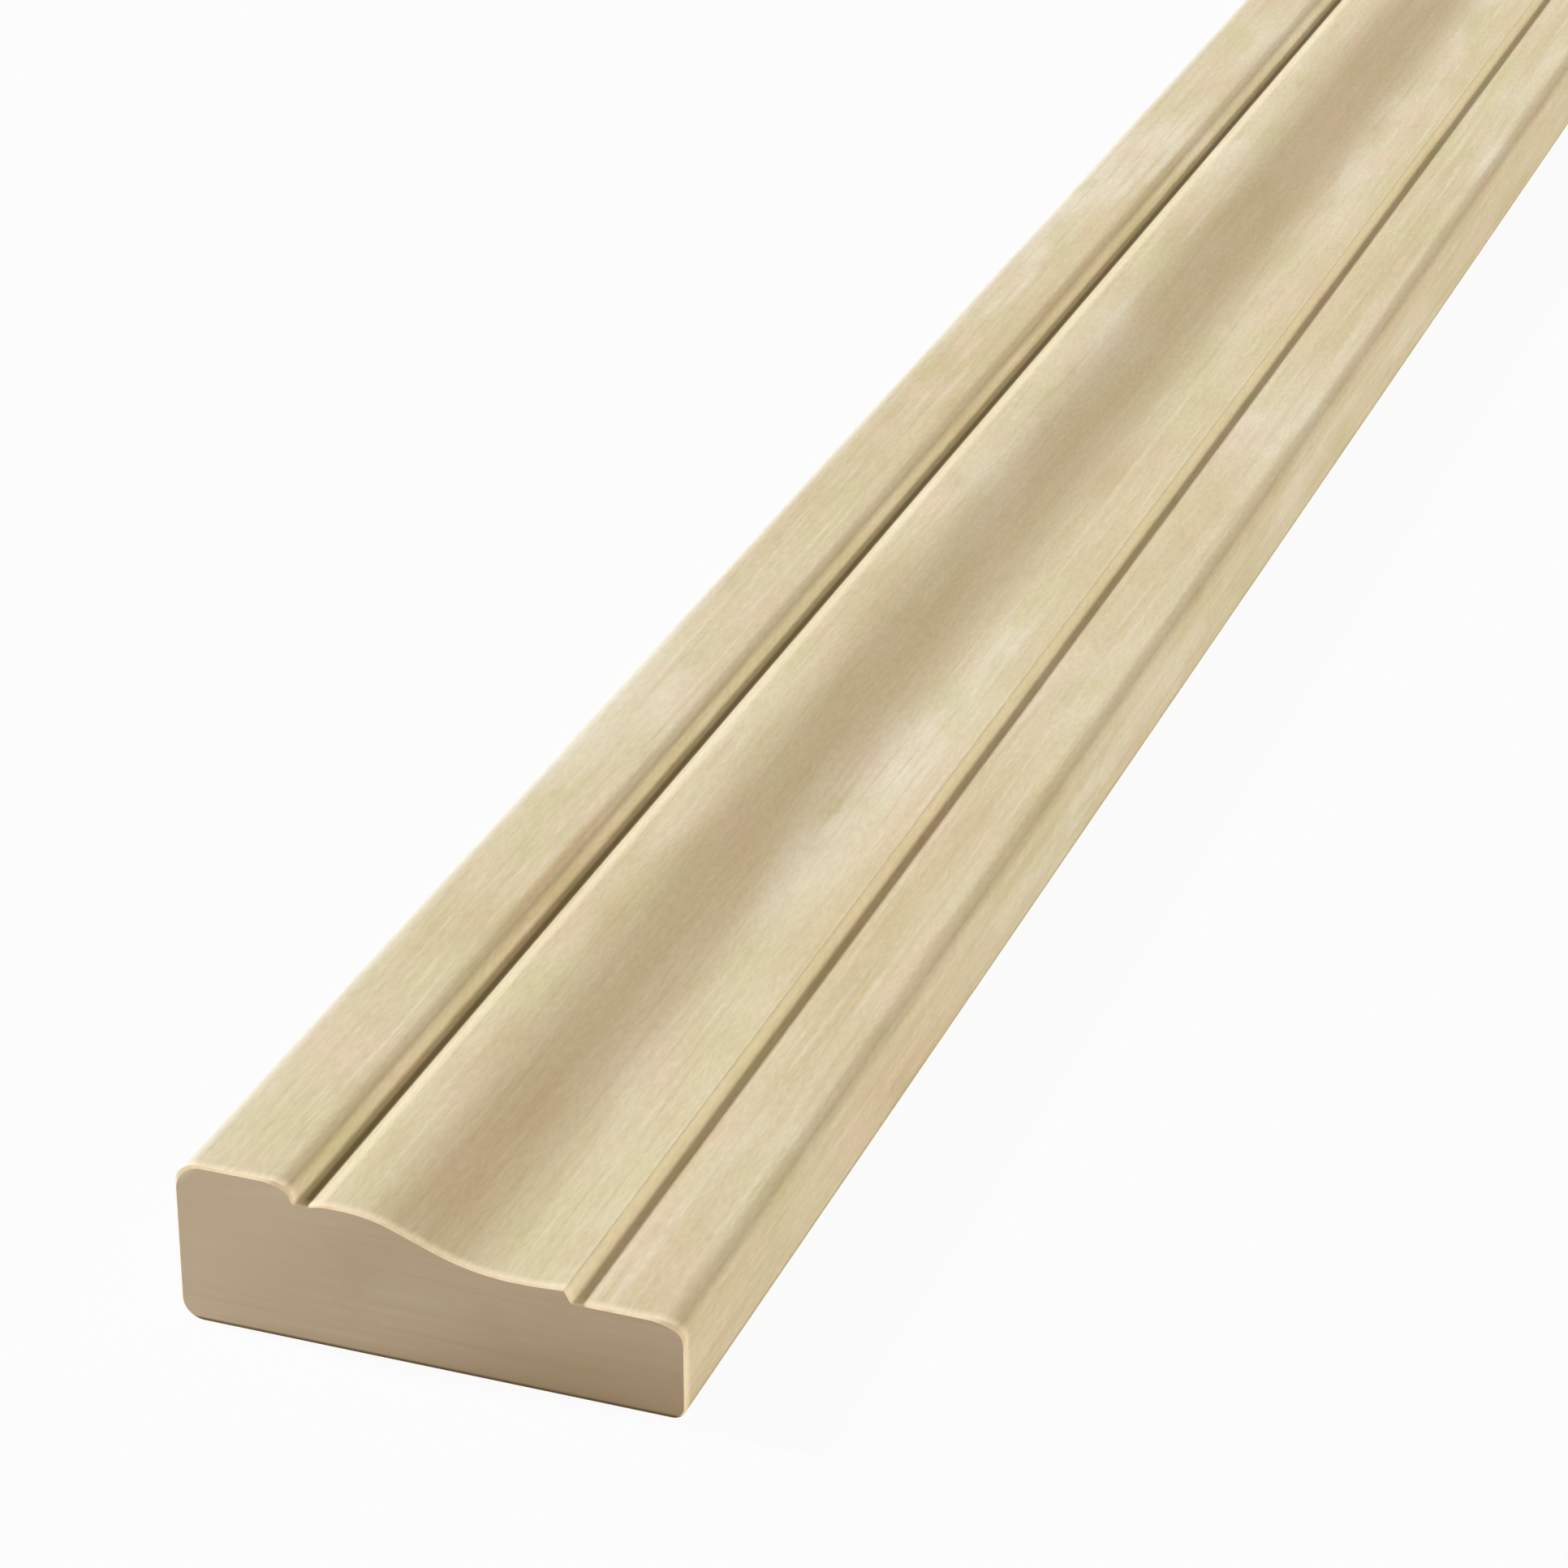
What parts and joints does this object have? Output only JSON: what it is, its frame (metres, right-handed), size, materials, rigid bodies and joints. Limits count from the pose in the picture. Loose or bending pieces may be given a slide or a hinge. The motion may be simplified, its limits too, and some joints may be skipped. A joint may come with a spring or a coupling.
{
  "type": "flexible casing moulding",
  "caption": "Straight length of door and window casing with a flat back, a raised band along its thick edge, an ogee face and a thumb along its thin edge.",
  "frame": {"origin": "centre of the flat back, halfway along the length, so that the strip lies on the floor", "axes": "+Y along the length, +X across the face towards the thin edge, +Z out of the face"},
  "size_m": [0.0572, 2.1336, 0.0191],
  "materials": {
    "bare_wood": "bare, moulded smooth, unfinished"
  },
  "bodies": {
    "root": {"casing_strip": "bare_wood"}
  },
  "joints": []
}
